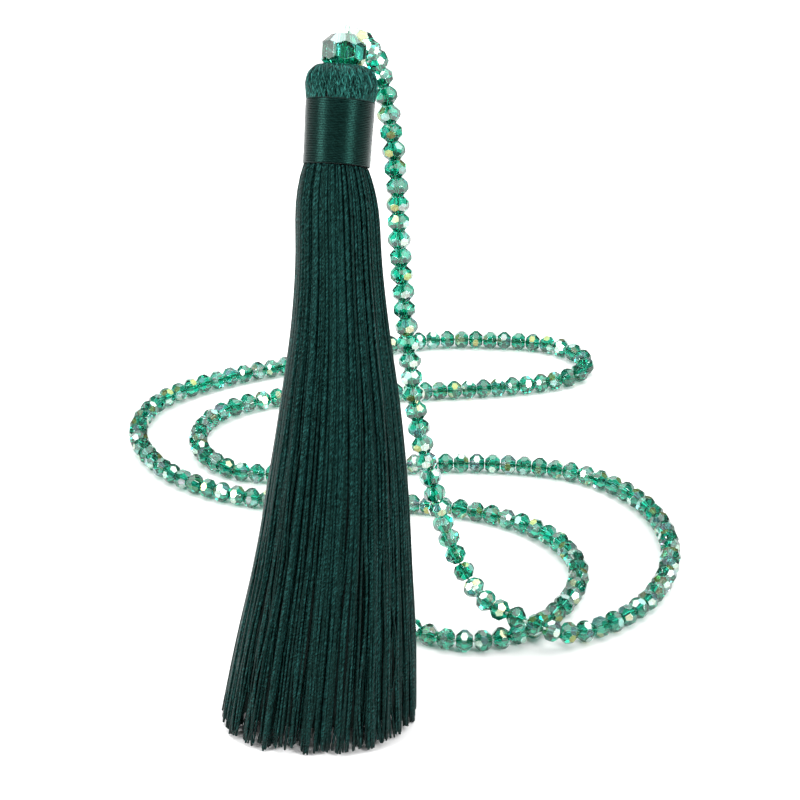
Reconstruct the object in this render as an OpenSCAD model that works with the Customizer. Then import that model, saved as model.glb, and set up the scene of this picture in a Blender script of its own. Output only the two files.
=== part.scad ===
// Long necklace: faceted glass beads on one thread, with a bead-topped silk tassel.
// The origin is the top of the bight of thread by which the necklace hangs.
// +Z is up, -Y is the side that the tassel's front faces.

/* [Strand beads] */
// Diameter of a strand bead across the corners of its girdle
bead_d = 4.4; // [3.6:0.1:4.5]
// Length of a strand bead along its bore
bead_l = 3.3; // [2.6:0.1:3.5]
// Width of the flat face round a strand bead's bore
bead_face_d = 2.2; // [1.8:0.1:2.4]
// Bore of a strand bead
bead_bore = 0.9; // [0.7:0.05:1.1]
// Space between the inner rims of neighbouring beads
bead_gap = 0.13; // [0.1:0.01:0.3]

/* [Tassel bead] */
// Diameter of the bead that sits on the tassel, across its girdle's corners
tassel_bead_d = 8.4; // [7.7:0.1:8.8]
// Length of that bead along its bore
tassel_bead_l = 6.2; // [5.6:0.1:6.6]
// Width of the flat face round its bore
tassel_bead_face_d = 4.2; // [3.6:0.1:4.4]

/* [Upper bead] */
// Diameter of the smaller bead behind the tassel bead, across its girdle's corners
upper_bead_d = 6.4; // [5.8:0.1:6.7]
// Length of that bead along its bore
upper_bead_l = 4.4; // [4:0.1:4.6]
// Width of the flat face round its bore
upper_bead_face_d = 3.2; // [2.7:0.1:3.5]
// Bore of the tassel bead and of the upper bead, wide enough for both runs of thread
pair_bore = 1.5; // [1.4:0.05:1.7]

/* [Thread] */
// Diameter of the thread
thread_d = 0.5; // [0.4:0.05:0.55]

/* [Tassel head] */
// Diameter of the domed head
head_d = 12.5; // [11.9:0.1:13.1]
// Height of the domed head
head_h = 6; // [5.4:0.1:6.8]
// How deep the tassel bead sinks into the head
bead_sink = 0.7; // [0.4:0.05:1]
// Angle by which the head leans back from upright
head_lean = 27; // [24:1:30]
// Angle by which the head rolls to the right
head_roll = 4; // [2:1:6]

/* [Neck wrap] */
// Diameter of the wound neck at its top
wrap_top_d = 12.4; // [12:0.1:12.9]
// Diameter of the wound neck at its lower edge
wrap_low_d = 12; // [11.6:0.1:12.5]
// Height of the wound neck
wrap_h = 11.5; // [10:0.1:12.4]
// Number of turns that show as ridges
wrap_turns = 18; // [12:1:24]
// Diameter of the bundle of threads inside the wound neck
bundle_d = 9.9; // [9:0.1:10.4]

/* [Fringe] */
// Width of the fringe across its tips
tips_w = 38; // [34:0.1:41]
// Depth of the fringe at its tips, front to back
tips_depth = 27; // [22:0.1:32]
// Distance down the head's line at which the fringe turns straight down
turn_down = 70; // [66:1:74]
// Sideways swell of the fringe at its middle height
sway = 3.4; // [0:0.1:4.4]
// How far the tips stand to the left of the head's line
tips_aside = 1.2; // [0:0.1:2]
// Number of locks round the fringe
locks = 28; // [20:1:34]
// How unevenly the tips of the locks end
ragged = 1.8; // [0.5:0.1:3]

/* [Resting surface] */
// Height from the hang point down to the surface that the tips and loops meet
hang_h = 124; // [122:0.5:126]

/* [Hidden] */

glass = [0.16, 0.63, 0.47];
silk = [0.03, 0.22, 0.19];
silk_light = [0.05, 0.33, 0.28];
fit = 0.1;              // clearance between pieces that bear on each other
// How far out a bead's crown facets would meet without its girdle, as a share of its radius
strand_crown = 1.17;
large_crown = 1.25;
hollow_flare = 0.9;     // how far the head's hollow widens from its floor to its rim
bead_top = [-0.55, -2.1, -1.54];    // middle of the tassel bead's upper table
upper_side = [2.4, 7, -1.3];        // the way from the tassel bead to the upper bead
upper_way = [0.42, 0.82, -0.38];    // the way the upper bead's bore points, away from the bight
low_z = -hang_h;
bead_z = low_z + bead_d / 2;    // middle of a strand bead that lies down
bare_start = 0.8;       // bare thread between the upper bead and the first bead of the strand
bare_end = 3.4;         // bare thread between the strand's last bead and the upper bead
curve_steps = 8;        // samples of a line between two of its points
run_gap = 0.12;         // space between the two runs of thread in the larger beads
thread_sides = 6;

// One lock of the fringe from its groove round to the next: share of its width, share of its relief
lock_outline = [[0, 0], [0.1, 0.62], [0.28, 0.92], [0.5, 1], [0.72, 0.92], [0.9, 0.62]];
relief_top = 0.3;       // how far the locks stand out at the wound neck
relief_tips = 2.2;      // and at the tips
groove_h = 7;           // how far up the grooves part the tips
hollow_h = 4;           // height of the hollow that the tips leave inside
hollow_in = 4.5;        // how far in from the tips the hollow starts

// How the fringe spreads from the wound neck (0) to its tips (1), along its length
spread_at = 0;
spread_w = 1;
spread_depth = 2;
spread = [
    [0.00, 0.000, 0.00],
    [0.03, 0.070, 0.08],
    [0.08, 0.130, 0.17],
    [0.17, 0.155, 0.22],
    [0.28, 0.235, 0.30],
    [0.42, 0.395, 0.43],
    [0.56, 0.540, 0.56],
    [0.70, 0.680, 0.69],
    [0.85, 0.850, 0.85],
    [1.00, 1.000, 1.00]];

function unit(v) = v / norm(v);

// The head's own line, which leans back and rolls; heights down it are measured from the tassel bead
head_dir = [cos(head_lean) * sin(head_roll), sin(head_lean), cos(head_lean) * cos(head_roll)];
bead_seat = bead_top - head_dir * tassel_bead_l / 2;
function down_head(t) = bead_seat - head_dir * t;
head_top = tassel_bead_l / 2 - bead_sink;
wrap_top = head_top + head_h + fit;
wrap_low = wrap_top + wrap_h;

upper_dir = unit(upper_way);
upper_seat = bead_seat + unit(upper_side) * (tassel_bead_d + upper_bead_d) / 2;
function along_upper(t) = upper_seat + upper_dir * t;

// The line of the bead string, from the upper bead's far end round to the same place:
// down the right of the tassel, over the returning strand, round the floor loops and up behind
strand_route = [
    along_upper(upper_bead_l / 2 + 0.3), [3.7, 7.5, -7.6], [4.6, 9.5, -9.4], [5.4, 10.8, -12],
    [6.1, 11.2, -15.2], [6.8, 10.9, -19], [8.5, 9, -32.5], [9.2, 7.5, -48], [10.6, 5, -64],
    [12.2, 3, -79], [15.4, 0.5, -94],
    [19.6, 0, -108.5], [22.8, -2.8, -114.2], [26, -7, -116.6], [30.2, -11, -116.8],
    [35.5, -13, -118.2], [42, -11.5, -121.2], [50, -7.5, bead_z], [58, 0, bead_z], [64, 12, bead_z],
    [65.5, 26, bead_z], [61, 41, bead_z], [51, 51.5, bead_z], [35, 56.5, bead_z], [12, 57, bead_z],
    [-14, 52.5, bead_z], [-27, 54, bead_z], [-34.5, 61.5, bead_z], [-36.5, 71, bead_z],
    [-32, 81.5, bead_z], [-19.5, 88.5, bead_z], [9, 91, bead_z], [32, 93.5, bead_z],
    [44.5, 96.5, bead_z], [51.8, 100.5, bead_z], [53.9, 106, bead_z], [51.8, 111.6, bead_z],
    [44.5, 116.3, bead_z], [33, 118.3, bead_z], [14, 118, bead_z], [-14, 106.5, bead_z],
    [-34, 97.5, bead_z], [-46.5, 87, bead_z], [-50.5, 73, bead_z], [-45, 57.5, bead_z],
    [-33, 46.5, bead_z], [-16, 40.5, bead_z],
    [12, 39.5, bead_z], [30, 34.5, bead_z], [41.5, 25.5, bead_z], [46, 12, bead_z],
    [41, -2, bead_z], [31, -11.5, bead_z], [20, -13, bead_z], [10, -8, bead_z + 0.4],
    [4, -1.5, -119.5], [0.5, 3.5, -112], [-1.6, 6.8, -98], [-2, 8, -70], [-2.1, 8.8, -36],
    [-2.2, 9.8, -18], [-2, 10, -13], [-1.5, 9.4, -10], [0, 8, -8], [1.9, 6.1, -7]];

function blend(a, b, ta, tb, t) = (a * (tb - t) + b * (t - ta)) / (tb - ta);
function running_sum(v) = [for (i = 0, s = 0; i < len(v); s = s + v[i], i = i + 1) s + v[i]];

// A smooth curve between p1 and p2 that heads for p0 and p3 beyond them
function curve_point(p0, p1, p2, p3, u) =
    let (t1 = sqrt(norm(p1 - p0)), t2 = t1 + sqrt(norm(p2 - p1)), t3 = t2 + sqrt(norm(p3 - p2)),
        t = t1 + (t2 - t1) * u,
        a1 = blend(p0, p1, 0, t1, t), a2 = blend(p1, p2, t1, t2, t), a3 = blend(p2, p3, t2, t3, t),
        b1 = blend(a1, a2, 0, t2, t), b2 = blend(a2, a3, t1, t3, t))
    blend(b1, b2, t1, t2, t);

function smooth_line(pts) =
    let (n = len(pts), ends = concat([2 * pts[0] - pts[1]], pts, [2 * pts[n - 1] - pts[n - 2]]))
    [for (i = [0 : n - 2], j = [0 : curve_steps - 1])
        curve_point(ends[i], ends[i + 1], ends[i + 2], ends[i + 3], j / curve_steps), pts[n - 1]];

line = smooth_line(strand_route);
steps = [for (i = [1 : len(line) - 1]) line[i] - line[i - 1]];
// Bending in degrees per millimetre at each sample, so that beads open out on a bend
bends = [for (i = [0 : len(steps) - 1])
    let (a = steps[max(i - 1, 0)], b = steps[min(i + 1, len(steps) - 1)])
    acos(min(1, unit(a) * unit(b))) / (norm(a) / 2 + norm(steps[i]) + norm(b) / 2)];
// Length along the side of the string where the corners of the beads' tables touch
rim_r = bead_face_d / 2 / cos(22.5) + bead_gap;
rim_steps = [for (i = [0 : len(steps) - 1]) norm(steps[i]) * (1 - bends[i] * PI / 180 * rim_r)];
rim_length = concat([0], running_sum(rim_steps));
axis_x = [for (i = [0 : len(line) - 1]) [rim_length[i], line[i].x]];
axis_y = [for (i = [0 : len(line) - 1]) [rim_length[i], line[i].y]];
axis_z = [for (i = [0 : len(line) - 1]) [rim_length[i], line[i].z]];
function on_line(s) = [lookup(s, axis_x), lookup(s, axis_y), lookup(s, axis_z)];

string_length = rim_length[len(rim_length) - 1] - bare_start - bare_end;
bead_count = floor(string_length / (bead_l + bead_gap));
bead_pitch = string_length / bead_count;
joints = [for (i = [0 : bead_count]) on_line(bare_start + i * bead_pitch)];
half_count = floor(bead_count / 2);

// Turns +Z to the direction given
module point_along(dir) {
    rotate([0, acos(dir.z / norm(dir)), atan2(dir.y, dir.x)]) children();
}

module on_head() {
    translate(bead_seat) rotate([-head_lean, head_roll, 0]) children();
}

// Two opposite crown facets and the two under them, cut by one extruded outline
module facet_pair(r, face_r, half_l) {
    right = [[face_r, half_l], [r, 0], [face_r, -half_l]];
    rotate([90, 0, 0]) linear_extrude(4 * r, center = true) polygon(concat(right, -1 * right));
}

// A cut glass rondelle: a table and eight kite facets at each end, eight tall facets round the girdle,
// and its bore
module rondelle(d, l, face_d, bore, crown) {
    difference() {
        intersection() {
            cylinder(h = l, d = d, center = true, $fn = 8);
            intersection_for (k = [0 : 3]) rotate(k * 45) facet_pair(crown * d / 2, face_d / 2, l / 2);
        }
        cylinder(h = 2 * l, d = bore, center = true, $fn = 24);
    }
}

module bead_run(first, last) {
    for (i = [first : last])
        translate((joints[i] + joints[i + 1]) / 2)
            point_along(joints[i + 1] - joints[i])
                rotate(i * 67) rondelle(bead_d, bead_l, bead_face_d, bead_bore, strand_crown);
}

module strand_beads_a() {
    color(glass) bead_run(0, half_count - 1);
}

module strand_beads_b() {
    color(glass) bead_run(half_count, bead_count - 1);
}

module tassel_bead() {
    color(glass) on_head() rotate(27)
        rondelle(tassel_bead_d, tassel_bead_l, tassel_bead_face_d, pair_bore, large_crown);
}

module upper_bead() {
    color(glass) translate(upper_seat) point_along(upper_dir)
        rotate(33) rondelle(upper_bead_d, upper_bead_l, upper_bead_face_d, pair_bore, large_crown);
}

// The thread: up through the tassel bead, over the bight, through the upper bead and round the strand
run_side = [(thread_d + run_gap) / 2, 0, 0];
bight = [down_head(wrap_top), bead_seat, down_head(-tassel_bead_l / 2 - 0.2),
    [-0.2, -0.3, -thread_d / 2 - 0.03], along_upper(-upper_bead_l / 2 - 0.4), upper_seat,
    along_upper(upper_bead_l / 2 + 0.25)];
bight_line = smooth_line(bight);
thread_line = concat([for (p = bight_line) p + run_side], joints,
    [for (i = [len(bight_line) - 1 : -1 : 0]) bight_line[i] - run_side]);

// The direction of a line at its point i, from the steps before and after it
function step_way(p, i) = unit(p[i + 1] - p[i]);
function middle_way(p, i) = unit(step_way(p, max(i - 1, 0)) + step_way(p, min(i, len(p) - 2)));
function square_to(v, way) = unit(v - way * (v * way));

module tube(p, d, sides) {
    ways = [for (i = [0 : len(p) - 1]) middle_way(p, i)];
    across = [for (i = 0, a = square_to([1, 0, 0], ways[0]); i < len(p);
        i = i + 1, a = i < len(p) ? square_to(a, ways[i]) : a) a];
    rings = [for (i = [0 : len(p) - 1], a = [0 : 360 / sides : 359])
        p[i] + d / 2 * (across[i] * cos(a) + cross(ways[i], across[i]) * sin(a))];
    last = (len(p) - 1) * sides;
    walls = [for (i = [0 : len(p) - 2], k = [0 : sides - 1])
        let (a = i * sides + k, b = i * sides + (k + 1) % sides) [a, a + sides, b + sides, b]];
    polyhedron(rings, concat([[for (k = [0 : sides - 1]) k]],
        [[for (k = [sides - 1 : -1 : 0]) last + k]], walls), convexity = 20);
}

module thread() {
    color("white") tube(thread_line, thread_d, thread_sides);
}

// Half outline of the domed head, from the hollow under the tassel bead to the wound neck
module head_outline() {
    shoulder_h = 0.57 * head_h;
    crest_r = 0.28 * head_d;
    hollow_r = tassel_bead_face_d / 2 + fit;
    lip = crest_r - hollow_r - hollow_flare;
    bore_r = pair_bore / 2 + fit;
    polygon(concat([[bore_r, -bead_sink - fit], [hollow_r + hollow_flare / 4, -bead_sink - fit]],
        [for (a = [0 : 15 : 90]) [crest_r - lip * cos(a), -0.8 * bead_sink * (1 - sin(a))]],
        [for (a = [75 : -15 : 0]) [crest_r + (head_d / 2 - crest_r) * cos(a), -shoulder_h * (1 - sin(a))]],
        [[head_d / 2 - 0.15, -head_h], [bore_r, -head_h]]));
}

module tassel_head() {
    color(silk_light) on_head() translate([0, 0, -head_top])
        rotate_extrude($fn = 72) head_outline();
}

// The wound neck: a tube whose outside is a row of rounded turns
module neck_wrap() {
    turn = wrap_h / wrap_turns;
    relief = 0.22 * turn;
    function wrap_r(t) = wrap_top_d / 2 - relief + (wrap_low_d - wrap_top_d) / 2 * t;
    color(silk) on_head() translate([0, 0, -wrap_top]) rotate_extrude($fn = 72)
        polygon(concat([[bundle_d / 2 + fit, 0]],
            [for (i = [0 : wrap_turns - 1], a = [0 : 45 : 180])
                [wrap_r((i + a / 180) / wrap_turns) + relief * sin(a), -turn * (i + (1 - cos(a)) / 2)]],
            [[bundle_d / 2 + fit, -wrap_h]]));
}

// The middle of the fringe: on the head's line at first, then bending until it hangs straight down
fringe_top = down_head(wrap_low + 2 * fit);
fringe_turn = down_head(turn_down) - [tips_aside, 0, 0];
fringe_foot = [fringe_turn.x, fringe_turn.y, low_z];
fringe_neck_r = wrap_low_d / 2 - 0.15;

function fringe_middle(s) = (1 - s) * (1 - s) * fringe_top + 2 * s * (1 - s) * fringe_turn
    + s * s * fringe_foot + [sway * sin(180 * s), 0, 0];
function fringe_way(s) = unit((1 - s) * (fringe_turn - fringe_top) + s * (fringe_foot - fringe_turn));
function fringe_side(s) = square_to([1, 0, 0], fringe_way(s));
function fringe_back(s) = let (b = cross(fringe_side(s), fringe_way(s))) b.y < 0 ? -b : b;
function half_w(row) = fringe_neck_r + (tips_w / 2 - fringe_neck_r) * row[spread_w];
function half_depth(row) = fringe_neck_r + (tips_depth / 2 - fringe_neck_r) * row[spread_depth];

// One lock's own irregularity, the same on every build
function vary(k, n) = sin((k % locks) * n * 47 + n * 31);
function groove_angle(k, s) = 360 * (k + 0.2 * vary(k, 3) + 0.22 * s * vary(k, 5)) / locks;

// One point of a section: lock k, a point of its outline, and how far in from the outer form
function lock_point(row, k, part, inset) =
    let (s = row[spread_at], from = groove_angle(k, s), to = groove_angle(k + 1, s),
        angle = from + (to - from) * part[0],
        relief = (relief_top + (relief_tips - relief_top) * s * s) * (1 + 0.3 * vary(k, 7)),
        into = inset + relief * (1 - part[1]) + 0.4 * s * (1 + vary(k, 9)))
    fringe_middle(s) + (half_w(row) - into) * cos(angle) * fringe_side(s)
        + (half_depth(row) - into) * sin(angle) * fringe_back(s);
function lock_section(row, inset) =
    [for (k = [0 : locks - 1], part = lock_outline) lock_point(row, k, part, inset)];

// The bundle inside the wound neck, on the head's own line
function bundle_section(t) = [for (k = [0 : locks - 1], part = lock_outline)
    let (angle = groove_angle(k, 0) + part[0] * (groove_angle(k + 1, 0) - groove_angle(k, 0)))
    down_head(t) + bundle_d / 2 * (cos(angle) * fringe_side(0) + sin(angle) * fringe_back(0))];

// Each lock ends at its own height, and the grooves between them run out higher up
function tip_section(row) = [for (k = [0 : locks - 1], part = lock_outline)
    let (p = lock_point(row, k, part, 0), lift = ragged * (0.5 + 0.5 * vary(k, 11)))
    [p.x, p.y, low_z + lift + groove_h * pow(1 - part[1], 1.5)]];

module tassel_fringe() {
    tips = spread[len(spread) - 1];
    inner = [for (p = lock_section(tips, hollow_in)) [p.x, p.y, low_z + ragged + hollow_h]];
    rows = concat([bundle_section(wrap_top + fit), bundle_section(wrap_low + fit)],
        [for (i = [0 : len(spread) - 2]) lock_section(spread[i], 0)], [tip_section(tips), inner]);
    n = len(rows[0]);
    last = (len(rows) - 1) * n;
    points = concat([for (row = rows) each row], [fringe_foot + [0, 0, ragged + hollow_h]]);
    color(silk) polyhedron(points, concat([[for (j = [n - 1 : -1 : 0]) j]],
        [for (j = [0 : n - 1]) [last + j, last + (j + 1) % n, len(points) - 1]],
        [for (i = [0 : len(rows) - 2], j = [0 : n - 1])
            let (a = i * n + j, b = i * n + (j + 1) % n) each [[a, b + n, a + n], [a, b, b + n]]]),
        convexity = 10);
}

tassel_fringe();
tassel_head();
neck_wrap();
tassel_bead();
upper_bead();
strand_beads_a();
strand_beads_b();
thread();
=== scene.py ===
# A long necklace of cut glass beads, hung by its thread so that its silk tassel just stands on the floor,
# with the strand running down beside the tassel and lying in loops behind it. Sizes are in millimetres as
# a beader would give them, and each mesh is brought to metres as it is made.
import bpy
import bmesh
import math
import numpy as np
from mathutils import Matrix


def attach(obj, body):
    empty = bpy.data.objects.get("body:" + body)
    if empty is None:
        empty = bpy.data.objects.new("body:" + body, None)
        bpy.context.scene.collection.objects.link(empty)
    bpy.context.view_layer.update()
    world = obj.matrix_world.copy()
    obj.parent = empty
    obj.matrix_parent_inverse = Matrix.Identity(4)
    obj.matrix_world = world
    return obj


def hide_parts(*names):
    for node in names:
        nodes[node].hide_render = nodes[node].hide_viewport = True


mm = 0.001
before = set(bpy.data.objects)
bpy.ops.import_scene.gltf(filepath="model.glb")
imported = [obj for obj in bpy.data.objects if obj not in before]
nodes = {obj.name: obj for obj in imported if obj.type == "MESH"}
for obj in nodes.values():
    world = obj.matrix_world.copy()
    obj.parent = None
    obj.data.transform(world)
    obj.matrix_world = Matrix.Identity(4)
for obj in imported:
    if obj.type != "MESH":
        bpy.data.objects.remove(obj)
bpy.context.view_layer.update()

# The pale floor that the tips and the loops of beads meet, softly lit from both sides and from above,
# seen from a little above the tassel as in a shop photograph.
hang_height = 124.05
floor_side = 6000
floor_shade = 0.86
surround_strength = 0.22
camera_place = (9.2, -399.5, 137)
camera_pitch = 28
focal_px, photo_px = 2365, 800


def set_inputs(tree, node, values):
    """Gives a node's inputs plain values, or joins them to the outputs of other nodes."""
    for name, value in values.items():
        if isinstance(value, bpy.types.NodeSocket):
            tree.links.new(value, node.inputs[name])
        else:
            node.inputs[name].default_value = value


def new_material(name, colour, values):
    """A material with its shader's inputs set to plain values."""
    material = bpy.data.materials.new(name)
    material.use_nodes = True
    tree = material.node_tree
    shader = tree.nodes["Principled BSDF"]
    set_inputs(tree, shader, {"Base Color": (*colour, 1), **values})
    return material, tree, shader


def soft_light(name, place, aim, size, power):
    """A soft box at a place, turned to what it lights."""
    lamp = bpy.data.lights.new(name, "AREA")
    lamp.shape = "RECTANGLE"
    lamp.size, lamp.size_y = (side * mm for side in size)
    lamp.energy = power
    holder = bpy.data.objects.new(name, lamp)
    bpy.context.scene.collection.objects.link(holder)
    back = np.array(place, float) - np.array(aim, float)
    azimuth = math.atan2(back[0], -back[1])
    elevation = math.atan2(back[2], math.hypot(back[0], back[1]))
    holder.location = np.array(place) * mm
    holder.rotation_euler = (math.pi / 2 - elevation, 0, azimuth)


floor_mesh = bpy.data.meshes.new("floor")
half = floor_side * mm / 2
floor_mesh.from_pydata([(-half, -half, 0), (half, -half, 0), (half, half, 0), (-half, half, 0)], [],
                       [(0, 1, 2, 3)])
floor = bpy.data.objects.new("floor", floor_mesh)
floor.location = (0, 0, -hang_height * mm)
bpy.context.scene.collection.objects.link(floor)
floor_white, _, _ = new_material("floor_white", [floor_shade] * 3, {
    "Roughness": 0.8, "Specular IOR Level": 0.1})
floor_mesh.materials.append(floor_white)

world = bpy.data.worlds.new("studio")
world.use_nodes = True
set_inputs(world.node_tree, world.node_tree.nodes["Background"],
           {"Color": (1, 1, 1, 1), "Strength": surround_strength})
bpy.context.scene.world = world
soft_light("left_softbox", (-610, -290, 270), (0, 10, -60), (260, 400), 5.6)
soft_light("right_softbox", (500, -440, 270), (0, 10, -60), (240, 400), 5.4)
soft_light("top_softbox", (0, 420, 900), (0, 250, -120), (1900, 1500), 26)

camera_data = bpy.data.cameras.new("camera")
camera_data.sensor_width = 36
camera_data.lens = camera_data.sensor_width * focal_px / photo_px
camera_data.clip_start = 10 * mm
camera = bpy.data.objects.new("camera", camera_data)
camera.location = np.array(camera_place) * mm
camera.rotation_euler = (math.radians(90 - camera_pitch), 0, 0)
bpy.context.scene.collection.objects.link(camera)
bpy.context.scene.camera = camera
bpy.context.scene.view_settings.view_transform = "Standard"

# The strand: small cut rondelles of emerald glass, drilled and strung close on one thread. Each has eight
# facets at either end and eight taller ones round its girdle, with its edges polished off and painted paler
# than the facets as a painted highlight, and one side of it was sprayed with a thin clear metal coat that
# turns some facets white, gold or lilac. That side lies toward the lamps, and coated facets that look up
# take only the paler colours, so the coat also carries painted glints.
bead_d, bead_l, bead_face_d, bead_bore = 4.4, 3.3, 2.2, 0.9
bead_gap = 0.13
strand_crown, large_crown = 1.17, 1.25
edge_polish = 0.04
least_edge_angle = 0.05
low_z = -124
bead_z = low_z + bead_d / 2
bare_start, bare_end = 0.8, 3.4
bead_roll = 67
eighth = math.radians(45)
head_lean, head_roll = math.radians(27), math.radians(4)
tassel_bead_d, tassel_bead_l, tassel_bead_face_d = 8.4, 6.2, 4.2
upper_bead_d, upper_bead_l, upper_bead_face_d = 6.4, 4.4, 3.2
pair_bore = 1.5
# The coat is sprayed from the side toward the lamps, so its paler facets sit where glints fall: painted
# glints.
toward_light = np.array([-0.25, -0.55, 0.8])
spray_scatter = 0.45    # how far the spray's way varies from bead to bead
sprayed_side = 0.35     # how squarely a facet has to face the spray to be likely to take the coat
stray_coat = 0.1        # chance of a coat on any other facet
strand_coat = 0.4       # chance of a coat on a facet that faces the spray


def unit(v):
    """A way or a list of ways, each brought to a length of one."""
    v = np.asarray(v, float)
    return v / np.linalg.norm(v, axis=-1, keepdims=True)


head_dir = np.array([math.cos(head_lean) * math.sin(head_roll), math.sin(head_lean),
                     math.cos(head_lean) * math.cos(head_roll)])
bead_seat = np.array([-0.55, -2.1, -1.54]) - head_dir * tassel_bead_l / 2
upper_dir = unit([0.42, 0.82, -0.38])
upper_seat = bead_seat + unit([2.4, 7, -1.3]) * (tassel_bead_d + upper_bead_d) / 2
strand_route = np.array([
    upper_seat + upper_dir * (upper_bead_l / 2 + 0.3), [3.7, 7.5, -7.6], [4.6, 9.5, -9.4], [5.4, 10.8, -12],
    [6.1, 11.2, -15.2], [6.8, 10.9, -19], [8.5, 9, -32.5], [9.2, 7.5, -48], [10.6, 5, -64],
    [12.2, 3, -79], [15.4, 0.5, -94],
    [19.6, 0, -108.5], [22.8, -2.8, -114.2], [26, -7, -116.6], [30.2, -11, -116.8],
    [35.5, -13, -118.2], [42, -11.5, -121.2], [50, -7.5, bead_z], [58, 0, bead_z], [64, 12, bead_z],
    [65.5, 26, bead_z], [61, 41, bead_z], [51, 51.5, bead_z], [35, 56.5, bead_z], [12, 57, bead_z],
    [-14, 52.5, bead_z], [-27, 54, bead_z], [-34.5, 61.5, bead_z], [-36.5, 71, bead_z],
    [-32, 81.5, bead_z], [-19.5, 88.5, bead_z], [9, 91, bead_z], [32, 93.5, bead_z],
    [44.5, 96.5, bead_z], [51.8, 100.5, bead_z], [53.9, 106, bead_z], [51.8, 111.6, bead_z],
    [44.5, 116.3, bead_z], [33, 118.3, bead_z], [14, 118, bead_z], [-14, 106.5, bead_z],
    [-34, 97.5, bead_z], [-46.5, 87, bead_z], [-50.5, 73, bead_z], [-45, 57.5, bead_z],
    [-33, 46.5, bead_z], [-16, 40.5, bead_z],
    [12, 39.5, bead_z], [30, 34.5, bead_z], [41.5, 25.5, bead_z], [46, 12, bead_z],
    [41, -2, bead_z], [31, -11.5, bead_z], [20, -13, bead_z], [10, -8, bead_z + 0.4],
    [4, -1.5, -119.5], [0.5, 3.5, -112], [-1.6, 6.8, -98], [-2, 8, -70], [-2.1, 8.8, -36],
    [-2.2, 9.8, -18], [-2, 10, -13], [-1.5, 9.4, -10], [0, 8, -8], [1.9, 6.1, -7]])


def smooth_line(points, samples=8):
    """A smooth curve through the points, with as many samples between each two."""
    p = np.vstack([2 * points[0] - points[1], points, 2 * points[-1] - points[-2]])
    line = []
    for i in range(len(points) - 1):
        p0, p1, p2, p3 = p[i:i + 4]
        t1 = math.sqrt(np.linalg.norm(p1 - p0))
        t2 = t1 + math.sqrt(np.linalg.norm(p2 - p1))
        t3 = t2 + math.sqrt(np.linalg.norm(p3 - p2))
        for j in range(samples):
            t = t1 + (t2 - t1) * j / samples
            a1 = (p0 * (t1 - t) + p1 * t) / t1
            a2 = (p1 * (t2 - t) + p2 * (t - t1)) / (t2 - t1)
            a3 = (p2 * (t3 - t) + p3 * (t - t2)) / (t3 - t2)
            b1 = (a1 * (t2 - t) + a2 * t) / t2
            b2 = (a2 * (t3 - t) + a3 * (t - t1)) / (t3 - t1)
            line.append((b1 * (t2 - t) + b2 * (t - t1)) / (t2 - t1))
    return np.array(line + [points[-1]])


def knots_between_beads():
    """The points of the strand between one bead and the next, wider apart on a bend."""
    line = smooth_line(strand_route)
    steps = np.diff(line, axis=0)
    length = np.linalg.norm(steps, axis=1)
    sample = np.arange(len(steps))
    before, after = np.maximum(sample - 1, 0), np.minimum(sample + 1, len(steps) - 1)
    turn = np.arccos(np.clip((unit(steps[before]) * unit(steps[after])).sum(1), -1, 1))
    bend = turn / (length[before] / 2 + length + length[after] / 2)
    rim_r = bead_face_d / 2 / math.cos(eighth / 2) + bead_gap
    rim_length = np.concatenate([[0], np.cumsum(length * (1 - bend * rim_r))])
    string_length = rim_length[-1] - bare_start - bare_end
    count = int(string_length // (bead_l + bead_gap))
    at = bare_start + np.arange(count + 1) * string_length / count
    return np.stack([np.interp(at, rim_length, line[:, i]) for i in range(3)], 1)


def turned_to(direction, place, roll):
    """A bead's own frame: its bore along the direction, its middle at the place."""
    polar = math.acos(direction[2])
    azimuth = math.atan2(direction[1], direction[0])
    turn = Matrix.Rotation(azimuth, 4, "Z") @ Matrix.Rotation(polar, 4, "Y") @ Matrix.Rotation(roll, 4, "Z")
    return Matrix.Translation(place) @ turn


# What a bead's face can be, in the order of the bead's materials
facet, coated_facet, polished, bore_wall = range(4)


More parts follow.
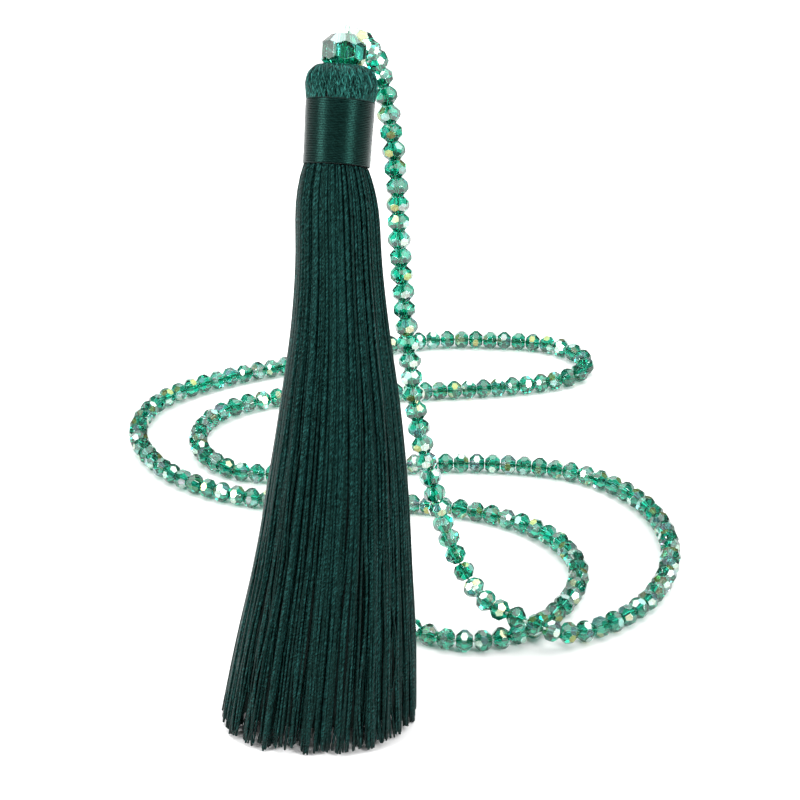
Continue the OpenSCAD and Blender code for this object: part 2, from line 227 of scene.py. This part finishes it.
def cut_bead(d, l, face_d, bore, crown):
    """Points and faces of one cut bead, its bore along Z, with what each face is and the way it faces."""
    r, half_l, face_r = d / 2, l / 2, face_d / 2
    flat_r = r * math.cos(eighth / 2)
    shape = bmesh.new()

    def point(radius, turns, z):
        return shape.verts.new((radius * math.cos(turns * eighth), radius * math.sin(turns * eighth), z))

    def crown_z(out):
        return half_l * (crown * r - out) / (crown * r - face_r)

    ends = []
    for up in (1, -1):
        table = [point(face_r / math.cos(eighth / 2), k + 0.5, up * half_l) for k in range(8)]
        peaks = [point(flat_r, k + 0.5, up * crown_z(flat_r * math.cos(eighth / 2))) for k in range(8)]
        corners = [point(r, k, up * crown_z(r)) for k in range(8)]
        hole = [point(bore / 2, (k + 1) / 2, up * half_l) for k in range(16)]
        for k in range(8):
            shape.faces.new((table[k - 1], table[k], peaks[k], corners[k], peaks[k - 1]))
            shape.faces.new((table[k - 1], table[k], hole[2 * k], hole[2 * k - 1], hole[2 * k - 2]))
        ends.append((peaks, corners, hole))
    (peaks, corners, hole), (low_peaks, low_corners, low_hole) = ends
    for k in range(8):
        shape.faces.new((corners[k - 1], peaks[k - 1], corners[k], low_corners[k], low_peaks[k - 1],
                         low_corners[k - 1]))
    for k in range(16):
        wall = shape.faces.new((hole[k - 1], hole[k], low_hole[k], low_hole[k - 1]))
        wall.material_index = bore_wall
    bmesh.ops.recalc_face_normals(shape, faces=shape.faces)
    edges = [e for e in shape.edges if all(f.material_index != bore_wall for f in e.link_faces)
             and e.calc_face_angle() > least_edge_angle]
    bmesh.ops.bevel(shape, geom=edges, offset=edge_polish, segments=1, affect="EDGES", material=polished)
    shape.verts.index_update()
    points = np.array([v.co for v in shape.verts])
    faces = [[v.index for v in f.verts] for f in shape.faces]
    kinds = np.array([f.material_index for f in shape.faces])
    normals = np.array([f.normal for f in shape.faces])
    shape.free()
    return points, faces, kinds, normals


def attribute(mesh, name, domain, values):
    """Gives each point or face of a mesh a number of its own."""
    layer = mesh.attributes.new(name, "FLOAT", domain)
    layer.data.foreach_set("value", np.asarray(values, np.float32).ravel())


def make_piece(name, points, faces, materials, solid, kinds=None, smooth=False):
    """A piece of the necklace from points in millimetres, which stands for its solid."""
    mesh = bpy.data.meshes.new(name)
    mesh.from_pydata(np.asarray(points) * mm, [], faces)
    for material in materials:
        mesh.materials.append(material)
    if kinds is not None:
        mesh.polygons.foreach_set("material_index", np.asarray(kinds, np.int32))
    mesh.polygons.foreach_set("use_smooth", np.full(len(mesh.polygons), smooth))
    piece = bpy.data.objects.new(name, mesh)
    bpy.context.scene.collection.objects.link(piece)
    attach(piece, "root")
    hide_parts(solid)
    return piece


def add_node(tree, kind, values=None, **settings):
    """Adds a shader node with its settings, and with its inputs set or joined."""
    node = tree.nodes.new(kind)
    for name, value in settings.items():
        setattr(node, name, value)
    set_inputs(tree, node, values or {})
    return node


def shade_between(tree, share, first, second):
    """The colour that lies by a share of the way between two others."""
    mix = add_node(tree, "ShaderNodeMix", {"Factor": share, "A": first, "B": second}, data_type="RGBA")
    return mix.outputs["Result"]


def cut_glass(name, deep, pale, coat):
    """Clear green glass with a polished surface, a little darker or lighter from facet to facet."""
    material, tree, shader = new_material(name, pale, {
        "Roughness": 0.02, "Transmission Weight": 1, "IOR": 1.56,
        "Coat Weight": coat, "Coat IOR": 1.7, "Coat Roughness": 0.02})
    own = add_node(tree, "ShaderNodeAttribute", attribute_name="facet")
    shade = shade_between(tree, own.outputs["Fac"], (*deep, 1), (*pale, 1))
    set_inputs(tree, shader, {"Base Color": shade})
    return material


def coated_glass(name, colours):
    """Glass under the sprayed metal coat, half mirror and half glass: the facet's shade picks its colour.
    Its white and pale colours, given to facets that look up, are painted glints as well.
    """
    material, tree, shader = new_material(name, colours[0][1], {
        "Roughness": 0.05, "Metallic": 0.3, "Transmission Weight": 0.85, "IOR": 1.6,
        "Thin Film Thickness": 380, "Thin Film IOR": 1.9,
        "Coat Weight": 0.3, "Coat IOR": 1.6, "Coat Roughness": 0.03})
    own = add_node(tree, "ShaderNodeAttribute", attribute_name="facet")
    ramp = add_node(tree, "ShaderNodeValToRGB", {"Fac": own.outputs["Fac"]})
    bands = ramp.color_ramp
    bands.interpolation = "CONSTANT"
    while len(bands.elements) < len(colours):
        bands.elements.new(0.5)
    for band, (start, colour) in zip(bands.elements, colours):
        band.position = start
        band.color = (*colour, 1)
    set_inputs(tree, shader, {"Base Color": ramp.outputs["Color"]})
    return material


# Where each colour of the coat starts on a facet's own shade, which goes from 0 to 1
mint, white, cream, gold, lilac, pale_blue = 0.0, 0.2, 0.5, 0.62, 0.75, 0.9
inside_band = 0.02
# The coat's colours. White, cream, lilac and pale blue on facets that look up are painted glints as well.
coat_and_glint_shades = [(mint, (0.30, 0.70, 0.55)), (white, (0.80, 0.88, 0.85)), (cream, (0.62, 0.56, 0.36)),
               (gold, (0.42, 0.36, 0.10)), (lilac, (0.36, 0.36, 0.44)), (pale_blue, (0.36, 0.60, 0.64))]
bead_materials = [cut_glass("emerald_glass", (0.001, 0.13, 0.075), (0.01, 0.45, 0.27), 0.3),
                  coated_glass("rainbow_coat_and_painted_glints", coat_and_glint_shades),
                  # Polished edges painted paler than the facets: a painted highlight along each edge.
                  cut_glass("polished_edge_painted_highlight", (0.08, 0.50, 0.36), (0.30, 0.70, 0.56), 0.3),
                  cut_glass("drilled_wall", (0.10, 0.45, 0.32), (0.30, 0.70, 0.55), 0.0)]


def facing_way(azimuth, height):
    """The way that a facet faces, from its azimuth and height in degrees."""
    a, h = math.radians(azimuth), math.radians(height)
    return np.array([math.cos(h) * math.cos(a), math.cos(h) * math.sin(a), math.sin(h)])


def string_beads(name, places, cut, chance, solid, seed, picked=()):
    """Copies one cut bead to each place and coats some of the facets that face the way of its own spray.
    The spray comes from the side toward the lamps, and coated facets that look up take only the paler
    colours, as painted glints.

    Picked facets are coated as named: each is the azimuth and height in degrees that it faces, and a shade.
    """
    points, faces, kinds, normals = cut_bead(*cut)
    pick = np.random.default_rng(seed)
    all_points, all_faces, all_kinds, all_shades = [], [], [], []
    for i, place in enumerate(places):
        turn = np.array(place.to_3x3())
        all_points.append(points @ turn.T + np.array(place.translation))
        offset = i * len(points)
        all_faces += [[v + offset for v in face] for face in faces]
        facing = normals @ turn.T
        spray = unit(toward_light + pick.normal(0, spray_scatter, 3))
        coated = pick.random(len(faces)) < np.where(facing @ spray > sprayed_side, chance, stray_coat)
        shades = pick.random(len(faces))
        # Coated facets that look up take only the colours from white on: painted glints.
        looks_up = facing[:, 2] > -0.1
        shades = np.where(coated & looks_up, white + (1 - white) * shades, shades)
        for azimuth, height, shade in picked:
            nearest = np.where(kinds == facet, normals @ facing_way(azimuth, height), -1).argmax()
            coated[nearest] = shade is not None
            shades[nearest] = 0.5 if shade is None else shade + inside_band
        all_kinds.append(np.where(coated & (kinds == facet), coated_facet, kinds))
        all_shades.append(shades)
    piece = make_piece(name, np.vstack(all_points), all_faces, bead_materials, solid,
                       np.concatenate(all_kinds))
    attribute(piece.data, "facet", "FACE", np.concatenate(all_shades))


knots = knots_between_beads()
strand_places = [turned_to(unit(after - before), (before + after) / 2, math.radians(i * bead_roll))
                 for i, (before, after) in enumerate(zip(knots[:-1], knots[1:]))]
half_count = len(strand_places) // 2
strand_cut = (bead_d, bead_l, bead_face_d, bead_bore, strand_crown)
string_beads("strand_beads_first_half", strand_places[:half_count], strand_cut, strand_coat,
             "strand_beads_a", 11)
string_beads("strand_beads_second_half", strand_places[half_count:], strand_cut, strand_coat,
             "strand_beads_b", 12)

# The two larger beads at the top of the tassel are the same cut in bigger sizes. The tassel bead sits in
# a hollow of the silk head, and the upper bead hangs behind it on the other end of the bight of thread.
tassel_bead_roll, upper_bead_roll = math.radians(27), math.radians(33)
tassel_bead_chance, upper_bead_chance = 0.5, 0.2
on_head = (Matrix.Translation(bead_seat) @ Matrix.Rotation(head_roll, 4, "Y")
           @ Matrix.Rotation(-head_lean, 4, "X"))
# The tassel bead's facets, coated one by one: the white ones are painted glints, the rest the coat's own
# colours, and None leaves a facet bare.
tassel_bead_coats_and_glints = [(157, 0, white), (-157, 0, white), (-112, 0, None), (-67, 0, None), (-22, 0, lilac),
                     (180, 45, white), (-135, 45, lilac), (-90, 45, None), (-45, 45, gold),
                     (180, -45, None), (-135, -45, None), (-90, -45, None), (-45, -45, gold)]
string_beads("large_tassel_bead", [on_head @ Matrix.Rotation(tassel_bead_roll, 4, "Z")],
             (tassel_bead_d, tassel_bead_l, tassel_bead_face_d, pair_bore, large_crown),
             tassel_bead_chance, "tassel_bead", 5, tassel_bead_coats_and_glints)
string_beads("large_upper_bead", [turned_to(upper_dir, upper_seat, upper_bead_roll)],
             (upper_bead_d, upper_bead_l, upper_bead_face_d, pair_bore, large_crown),
             upper_bead_chance, "upper_bead", 8)

# The stringing thread is one pale twisted thread that goes up from the tassel head, over the hang point,
# through the upper bead and round the whole strand. It shows as short bright stretches between beads.
thread_pale, thread_tree, thread_shader = new_material("pale_thread", (0.78, 0.88, 0.82), {
    "Roughness": 0.55, "Sheen Weight": 0.3})
thread_place = add_node(thread_tree, "ShaderNodeTexCoord")
thread_twist = add_node(thread_tree, "ShaderNodeTexWave", {
    "Vector": thread_place.outputs["Object"], "Scale": 900, "Distortion": 1.5}, bands_direction="DIAGONAL")
thread_bump = add_node(thread_tree, "ShaderNodeBump", {
    "Height": thread_twist.outputs["Fac"], "Strength": 0.5, "Distance": 0.06 * mm})
# The twist's grooves are painted darker than its ridges: painted shade.
thread_painted_groove_shade = shade_between(thread_tree, thread_twist.outputs["Fac"], (0.5, 0.72, 0.62, 1),
                             (0.86, 0.92, 0.88, 1))
set_inputs(thread_tree, thread_shader, {"Base Color": thread_painted_groove_shade, "Normal": thread_bump.outputs["Normal"]})
nodes["thread"].data.materials.clear()
nodes["thread"].data.materials.append(thread_pale)

# The tassel head: silk cords gathered under the tassel bead, folded over the shoulder and drawn down into
# the wound neck. They lie a little slantwise, side by side, with a few more on top of the others.
head_d, head_h, bead_sink, fit = 12.5, 6, 0.7, 0.1
crest_r, shoulder_h = 0.28 * head_d, 0.57 * head_h
hollow_flare, hollow_floor_flare, lip_h = 0.9, 0.22, 0.8 * bead_sink
neck_edge_in = 0.15             # how far in from the shoulder the cords come down to the wound thread
tuck_in, tuck_down = 0.6, 0.8   # how far in and down they end under it
head_top = tassel_bead_l / 2 - bead_sink
wrap_top = head_top + head_h + fit
head_cord_d, head_cord_rings = 0.38, 26
start_scatter, slant_scatter, least_arch = 0.25, 0.25, 0.3
map_shift = 7                   # how far apart two cords' maps can start, so that no two look the same
head_side, head_back = np.array(on_head.to_3x3()).T[:2]


def twisted_silk():
    """Shader group: two plies laid round each other along a cord, from its own round-and-along map."""
    group = bpy.data.node_groups.new("twisted_silk", "ShaderNodeTree")
    sockets = group.interface
    for name, value in (("Turn Length", 1.7), ("Ply Shade", 0.5)):
        sockets.new_socket(name, in_out="INPUT", socket_type="NodeSocketFloat").default_value = value
    for name in ("Deep Colour", "Lit Colour"):
        sockets.new_socket(name, in_out="INPUT", socket_type="NodeSocketColor")
    sockets.new_socket("Colour", in_out="OUTPUT", socket_type="NodeSocketColor")
    sockets.new_socket("Height", in_out="OUTPUT", socket_type="NodeSocketFloat")
    given = add_node(group, "NodeGroupInput").outputs
    place = add_node(group, "ShaderNodeUVMap", uv_map="round_and_along")
    apart = add_node(group, "ShaderNodeSeparateXYZ", {"Vector": place.outputs["UV"]})
    around, along = apart.outputs["X"], apart.outputs["Y"]
    cord = add_node(group, "ShaderNodeAttribute", attribute_name="cord").outputs["Fac"]

    def maths(operation, *values):
        node = add_node(group, "ShaderNodeMath", dict(enumerate(values)), operation=operation)
        return node.outputs["Value"]

    def noise(across, stretch):
        point = add_node(group, "ShaderNodeCombineXYZ", {
            "X": maths("MULTIPLY", across, fibres_across), "Y": maths("MULTIPLY", along, stretch),
            "Z": maths("MULTIPLY", cord, cords_apart)})
        texture = add_node(group, "ShaderNodeTexNoise", {
            "Vector": point.outputs["Vector"], "Scale": 1, "Detail": 2})
        return texture.outputs["Fac"]

    fibres_across, cords_apart = 8, 97
    slack_stretch, slack_turns = 0.45, 1.6
    fibre_stretch, fibre_mean, fibre_contrast = 1.2, 0.43, 5.5
    dimmest_cord = 0.2
    slack = maths("MULTIPLY", noise(cord, slack_stretch), slack_turns)
    turns = maths("ADD", maths("DIVIDE", along, given["Turn Length"]), slack)
    lay = maths("ADD", around, turns)
    ply = maths("ABSOLUTE", maths("SINE", maths("MULTIPLY", lay, 2 * math.pi)))
    fibre = noise(lay, fibre_stretch)
    # Streaks along the fibres, painted into the colour: the silk's own uneven fibres and painted highlight
    # dashes.
    streak = maths("MULTIPLY", maths("SUBTRACT", fibre, fibre_mean), fibre_contrast)
    cord_own = maths("ADD", maths("MULTIPLY", cord, 1 - dimmest_cord), dimmest_cord)
    # The grooves between the plies are painted darker: painted shade.
    shaded = maths("MULTIPLY", maths("SUBTRACT", 1, ply), given["Ply Shade"])
    lit = maths("MULTIPLY", maths("MULTIPLY", streak, cord_own), maths("SUBTRACT", 1, shaded))
    add_node(group, "NodeGroupOutput", {
        "Colour": shade_between(group, lit, given["Deep Colour"], given["Lit Colour"]),
        "Height": maths("ADD", maths("MULTIPLY", ply, given["Ply Shade"]), fibre)})
    return group


silk_twist = twisted_silk()


def silk(name, deep, lit, turn_length, ply_shade, relief, specular, roughness):
    """Dyed silk cord: its highlights take the dye's colour, as light goes through the fibres."""
    material, tree, shader = new_material(name, lit, {
        "Roughness": roughness, "Specular IOR Level": specular, "Specular Tint": (0.2, 0.85, 0.7, 1)})
    twist = add_node(tree, "ShaderNodeGroup", {
        "Turn Length": turn_length, "Ply Shade": ply_shade,
        "Deep Colour": (*deep, 1), "Lit Colour": (*lit, 1)}, node_tree=silk_twist)
    bump = add_node(tree, "ShaderNodeBump", {
        "Height": twist.outputs["Height"], "Strength": relief, "Distance": 0.08 * mm})
    set_inputs(tree, shader, {"Base Color": twist.outputs["Colour"], "Normal": bump.outputs["Normal"]})
    return material


def lay_cords(name, lines, outward, radius, shades, material, solid, sides=5, flatness=1.0):
    """Cords along lines of points, all with as many points. Outward is each point's way out."""
    cords, rings = lines.shape[:2]
    ways = unit(np.gradient(lines, axis=1))
    across = unit(np.cross(ways, outward))
    out = np.cross(across, ways)
    k = np.arange(sides)
    angle = (k * 2 * math.pi / sides)[:, None]
    ring = across[:, :, None] * np.cos(angle) + flatness * out[:, :, None] * np.sin(angle)
    points = lines[:, :, None] + ring * np.broadcast_to(radius, (cords, rings))[:, :, None, None]

    # Faces between each ring and the next, and over the far end
    ring_start = (np.arange(cords)[:, None] * rings + np.arange(rings)) * sides
    here = ring_start[:, :-1, None] + k
    beside = ring_start[:, :-1, None] + (k + 1) % sides
    quads = np.stack([here, beside, beside + sides, here + sides], -1).reshape(-1, 4)
    ends = ring_start[:, -1:] + k

    # The map: once round the cord, and millimetres along it
    steps = np.linalg.norm(np.diff(lines, axis=1), axis=2)
    along = np.concatenate([np.zeros((cords, 1)), np.cumsum(steps, 1)], 1)
    along = along + np.asarray(shades)[:, None] * map_shift
    u = np.broadcast_to(k / sides, here.shape)
    v = np.broadcast_to(along[:, :-1, None], here.shape)
    next_v = np.broadcast_to(along[:, 1:, None], here.shape)
    round_and_along = np.stack([u, v, u + 1 / sides, v, u + 1 / sides, next_v, u, next_v], -1).ravel()
    round_and_along = np.concatenate([round_and_along, np.zeros(2 * ends.size)])

    piece = make_piece(name, points.reshape(-1, 3), quads.tolist() + ends.tolist(), [material], solid,
                       smooth=True)
    layer = piece.data.uv_layers.new(name="round_and_along")
    layer.data.foreach_set("uv", round_and_along.astype(np.float32))
    attribute(piece.data, "cord", "POINT", np.repeat(shades, rings * sides))


def head_surface(t):
    """Radius and height of the head's outside, from the hollow under the bead (0) to the neck (1)."""
    hollow_r = tassel_bead_face_d / 2 + fit
    lip = crest_r - hollow_r - hollow_flare
    inner = [(crest_r - lip * math.cos(a), -lip_h * (1 - math.sin(a)))
             for a in np.radians(np.arange(0, 91, 15))]
    outer = [(crest_r + (head_d / 2 - crest_r) * math.cos(a), -shoulder_h * (1 - math.sin(a)))
             for a in np.radians(np.arange(80, -1, -10))]
    under = [(head_d / 2 - neck_edge_in, -head_h), (head_d / 2 - tuck_in, -head_h - tuck_down)]
    outline = np.array([(hollow_r + hollow_floor_flare, -bead_sink - fit)] + inner + outer + under)
    gone = np.concatenate([[0], np.cumsum(np.linalg.norm(np.diff(outline, axis=0), axis=1))])
    at = t * gone[-1]
    return np.interp(at, gone, outline[:, 0]), np.interp(at, gone, outline[:, 1])


def on_tassel(radius, angle, height):
    """A point round the head's line: its height is measured up from the tassel bead's middle."""
    out = np.cos(angle)[..., None] * head_side + np.sin(angle)[..., None] * head_back
    return bead_seat + head_dir * height[..., None] + radius[..., None] * out


def head_cord_lines(count, slant, lift, seed):
    """The lines of one layer of head cords, the way out at each point, and each cord's own shade."""
    pick = np.random.default_rng(seed)
    t = np.linspace(0, 1, head_cord_rings)[None, :]
    start = (np.arange(count) + pick.uniform(-start_scatter, start_scatter, count))[:, None]
    slants = slant * (1 + pick.normal(0, slant_scatter, count))[:, None]
    angle = start * 2 * math.pi / count + slants * (t - 0.5)
    radius, height = head_surface(np.broadcast_to(t, (count, head_cord_rings)))
    depth = head_cord_d / 2 - lift * np.sin(math.pi * t) * pick.uniform(least_arch, 1, count)[:, None]
    outline_way = np.stack([np.gradient(radius, axis=1), np.gradient(height, axis=1)], -1)
    normal = unit(np.stack([-outline_way[..., 1], outline_way[..., 0]], -1))
    radius, height = radius - depth * normal[..., 0], height - depth * normal[..., 1]
    lines = on_tassel(radius, angle, height - head_top)
    outward = on_tassel(radius + normal[..., 0], angle, height + normal[..., 1] - head_top) - lines
    return lines, outward, pick.random(count)


# The layers of the head: cords, the angle that they go round on their way down, how far they arch up, seed
head_layers = {"head_cords": (112, math.radians(24), 0, 21),
               "head_cords_crossing": (64, math.radians(-14), 0.16, 22),
               "head_cords_on_top": (46, math.radians(42), 0.3, 23)}
# The head's cords are the same silk as the fringe, given a much lighter copy of its colour: painted light
# where the head faces the lamps.
head_silk = silk("head_silk", (0.0002, 0.001, 0.001), (0.036, 0.21, 0.18), 3, 0.2, 0.9, 0.2, 0.28)
for name, layer in head_layers.items():
    lines, outward, shades = head_cord_lines(*layer)
    lay_cords(name, lines, outward, head_cord_d / 2, shades, head_silk, "tassel_head")


def make_core(name, points, solid):
    """A dark closed body under the cords, from rings of points that go down from its top."""
    rings, around = points.shape[:2]
    faces = []
    for start in range(0, (rings - 1) * around, around):
        for k in range(around):
            beside = (k + 1) % around
            faces.append((start + k, start + beside, start + around + beside, start + around + k))
    faces += [tuple(range(around)), tuple(range(rings * around - 1, (rings - 1) * around - 1, -1))]
    make_piece(name, points.reshape(-1, 3), faces, [shadow_silk], solid, smooth=True)


def turned_rings(radius, height, sides=64):
    """Rings of points round the head's line, from radii and heights above the tassel bead's middle."""
    angle = np.arange(sides) * 2 * math.pi / sides
    return on_tassel(*np.broadcast_arrays(np.asarray(radius)[:, None], angle, np.asarray(height)[:, None]))


shadow_silk, shadow_tree, shadow_shader = new_material("silk_in_shadow", (0.003, 0.022, 0.018), {
    "Roughness": 0.8})
shadow_fibres = add_node(shadow_tree, "ShaderNodeTexNoise", {"Scale": 1500})
shadow_shade = shade_between(shadow_tree, shadow_fibres.outputs["Fac"], (0.001, 0.010, 0.008, 1),
                             (0.005, 0.034, 0.028, 1))
set_inputs(shadow_tree, shadow_shader, {"Base Color": shadow_shade})
head_core_rows, head_core_inset, head_core_sink, head_core_least_r = 18, 0.42, 0.4, 0.9
stations = np.linspace(0, 1, head_core_rows)
core_r, core_z = head_surface(stations)
core_r = np.maximum(core_r - head_core_inset, head_core_least_r)
core_z = core_z - head_top - head_core_sink * (1 - stations)
make_core("head_core", turned_rings(core_r, core_z), "tassel_head")

# The wound neck: one fine silk thread taken round the gathered cords in close level turns, which bind
# them and hide their ends. Its turns take the light in bands, and some sit a little proud of the rest.
wrap_top_d, wrap_low_d, wrap_h = 12.4, 12, 11.5
wrap_turns, wrap_thread_d, wrap_inset = 38, 0.38, 0.12
turn_points, turn_scatter = 60, 0.025
wrap_shade, wrap_core_inset = 0.8, 0.2
wrap_low = wrap_top + wrap_h
wrap_pick = np.random.default_rng(31)
wound = np.linspace(0, 1, wrap_turns * turn_points + 1)
turn_lift = wrap_pick.normal(0, turn_scatter, wrap_turns + 1)
wrap_lift = np.interp(wound * wrap_turns, np.arange(wrap_turns + 1), turn_lift)
wrap_r = (wrap_top_d + (wrap_low_d - wrap_top_d) * wound) / 2 - wrap_inset + wrap_lift
wrap_z = -wrap_top - wrap_thread_d / 2 - (wrap_h - wrap_thread_d) * wound
wrap_angle = wound * wrap_turns * 2 * math.pi
wrap_line = on_tassel(wrap_r, wrap_angle, wrap_z)
wrap_out = on_tassel(wrap_r + 1, wrap_angle, wrap_z) - wrap_line
# The wound thread takes a far darker copy of the silk's colour than the fringe: painted shade.
wrap_silk = silk("wrap_silk", (0.0002, 0.001, 0.001), (0.002, 0.010, 0.009), 3, 0.1, 0.3, 0.28, 0.25)
lay_cords("neck_wrap_turns", wrap_line[None], wrap_out[None], wrap_thread_d / 2, [wrap_shade], wrap_silk,
          "neck_wrap", sides=8, flatness=0.4)
wrap_core_r = [d / 2 - wrap_core_inset for d in (wrap_top_d, wrap_low_d)]
make_core("neck_wrap_core", turned_rings(wrap_core_r, [-wrap_top, -wrap_low]), "neck_wrap")

# The fringe: some hundreds of twisted silk cords that leave the neck side by side, gather in locks and
# hang down in a long cone whose ragged tips stand on the floor. Cords from deeper in fill the gaps.
tips_w, tips_depth, turn_down, sway, tips_aside = 38, 27, 70, 3.4, 1.2
locks, ragged, relief_top, relief_tips, groove_h = 28, 1.8, 0.3, 2.2, 7
# Share of a lock's width and share of its relief, from its groove round to the next
lock_outline = np.array([[0, 0], [0.1, 0.62], [0.28, 0.92], [0.5, 1], [0.72, 0.92], [0.9, 0.62], [1, 0]])
# Share of the way down, and shares of the spread in width and in depth
spread = np.array([[0, 0, 0], [0.03, 0.07, 0.08], [0.08, 0.13, 0.17], [0.17, 0.155, 0.22],
                   [0.28, 0.235, 0.30], [0.42, 0.395, 0.43], [0.56, 0.54, 0.56], [0.70, 0.68, 0.69],
                   [0.85, 0.85, 0.85], [1, 1, 1]])
spread_line = smooth_line(spread)
groove_shift, groove_swing = 0.2, 0.22          # in locks: at the neck, and more of it towards the tips
relief_variety, lock_setback = 0.3, 0.4
fringe_cord_d, thinnest, thickest, tip_taper = 0.52, 0.88, 1.06, 0.85
root_scatter, ring_crowding = 0.4, 1.1          # in cords round the neck, and towards it along a cord
groove_share, tip_shares, tip_extra = 0.3, (0.3, 0.7), 0.3
floor_clearance = 0.1
drift_scatter, stray_scatter, stray_share = 0.1, 0.8, 0.6
fringe_neck_r = wrap_low_d / 2 - 0.15
fringe_top = bead_seat - head_dir * (wrap_low + 2 * fit)
fringe_turn = bead_seat - head_dir * turn_down - np.array([tips_aside, 0, 0])
fringe_foot = np.array([fringe_turn[0], fringe_turn[1], low_z])


def vary(lock, n):
    """One lock's own irregularity, the same on every run."""
    return np.sin(np.radians((lock % locks) * n * 47 + n * 31))


def groove_angle(lock, s):
    """Where round the fringe the groove before a lock lies, at a share of the way down."""
    return 2 * math.pi * (lock + groove_shift * vary(lock, 3) + groove_swing * s * vary(lock, 5)) / locks


def lock_rise(part):
    """How far a lock stands out at a share of its width."""
    return np.interp(part, lock_outline[:, 0], lock_outline[:, 1])


def half_width(s, tips, column):
    """The fringe's half width or half depth at a share of the way down."""
    share = np.interp(s, spread_line[:, 0], spread_line[:, column])
    return fringe_neck_r + (tips / 2 - fringe_neck_r) * share


def fringe_point(s, where, inset):
    """A point on the fringe: how far down (0 to 1), where round it in locks, and how deep inside."""
    lock = np.floor(where)
    part = where - lock
    angle = groove_angle(lock, s) + part * (groove_angle(lock + 1, s) - groove_angle(lock, s))
    relief = (relief_top + (relief_tips - relief_top) * s * s) * (1 + relief_variety * vary(lock, 7))
    into = inset + relief * (1 - lock_rise(part)) + lock_setback * s * (1 + vary(lock, 9))
    down = s[..., None]
    middle = (1 - down) ** 2 * fringe_top + 2 * down * (1 - down) * fringe_turn + down ** 2 * fringe_foot
    middle = middle + np.array([sway, 0, 0]) * np.sin(math.pi * down)
    way = unit((1 - down) * (fringe_turn - fringe_top) + down * (fringe_foot - fringe_turn))
    side = unit(np.array([1, 0, 0]) - way * way[..., :1])
    back = np.cross(side, way)
    back = back * np.sign(back[..., 1:2])
    out = np.cos(angle)[..., None] * side + np.sin(angle)[..., None] * back
    aside = (half_width(s, tips_w, 1) - into) * np.cos(angle)
    behind = (half_width(s, tips_depth, 2) - into) * np.sin(angle)
    return middle + aside[..., None] * side + behind[..., None] * back, out


def hang_cords(name, count, rings, inset_top, inset_tips, strays, seed):
    """One layer of fringe cords, each with its own wander, depth and length, and a few that stray."""
    pick = np.random.default_rng(seed)
    root = (np.arange(count) + pick.uniform(-root_scatter, root_scatter, count)) * locks / count
    lock = np.floor(root)
    tip_h = (ragged * (0.5 + 0.5 * vary(lock, 11))
             + groove_share * groove_h * (1 - lock_rise(root - lock)) ** 1.5)
    tip_h = tip_h * pick.uniform(*tip_shares, count) + pick.exponential(tip_extra, count)
    drop = np.linalg.norm(fringe_foot - fringe_turn) * 2
    ends = 1 - (tip_h + floor_clearance) / drop
    s = np.linspace(0, 1, rings)[None] ** ring_crowding * ends[:, None]
    drift = pick.normal(0, drift_scatter, (count, 3))

    def waves(fewest, most):
        return np.sin(s * pick.uniform(fewest, most, count)[:, None] + pick.uniform(0, 6, count)[:, None])

    wander = drift[:, :1] * waves(4, 9) + drift[:, 1:2] * waves(12, 22)
    stray = (pick.random(count) < strays) * pick.normal(0, stray_scatter, count)
    where = root[:, None] + (wander + stray[:, None] * s ** 2 * stray_share) * s
    depth = pick.uniform(0, 1, count)[:, None]
    inset = fringe_cord_d / 2 + inset_top * depth * (1 - s) ** 2 + inset_tips * depth * (1 - (1 - s) ** 2)
    lines, outward = fringe_point(s, where, inset)
    stand_off = np.abs(drift[:, 2:3]) * 0.5 * np.sin(s * pick.uniform(14, 26, count)[:, None])
    lines += outward * stand_off[..., None] * s[..., None]
    taper = np.where(np.arange(rings) == rings - 1, tip_taper, 1)[None]
    radius = taper * fringe_cord_d / 2 * pick.uniform(thinnest, thickest, count)[:, None]
    lay_cords(name, lines, outward, radius, pick.random(count), fringe_silk, "tassel_fringe")


fringe_silk = silk("fringe_silk", (0.0002, 0.001, 0.001), (0.014, 0.068, 0.064), 1.7, 0.7, 0.8, 0.17, 0.32)
# The layers of the fringe: cords, rings in each, depth of the layer at the neck and at the tips,
# share of strays, seed
fringe_layers = {"fringe_outer_cords": (215, 46, 1.2, 0.25, 0.12, 41),
                 "fringe_middle_cords": (190, 40, 1.6, 0.9, 0.1, 42),
                 "fringe_inner_cords": (170, 34, 1.6, 1.8, 0.05, 43)}
for name, layer in fringe_layers.items():
    hang_cords(name, *layer)

core_rows, points_in_lock, core_inset, core_end = 24, 4, 1.3, 0.955
core_s, core_where = np.broadcast_arrays(np.linspace(0, core_end, core_rows)[:, None],
                                         np.arange(locks * points_in_lock) / points_in_lock)
core_points, _ = fringe_point(core_s, core_where, core_inset)
make_core("fringe_core", core_points, "tassel_fringe")
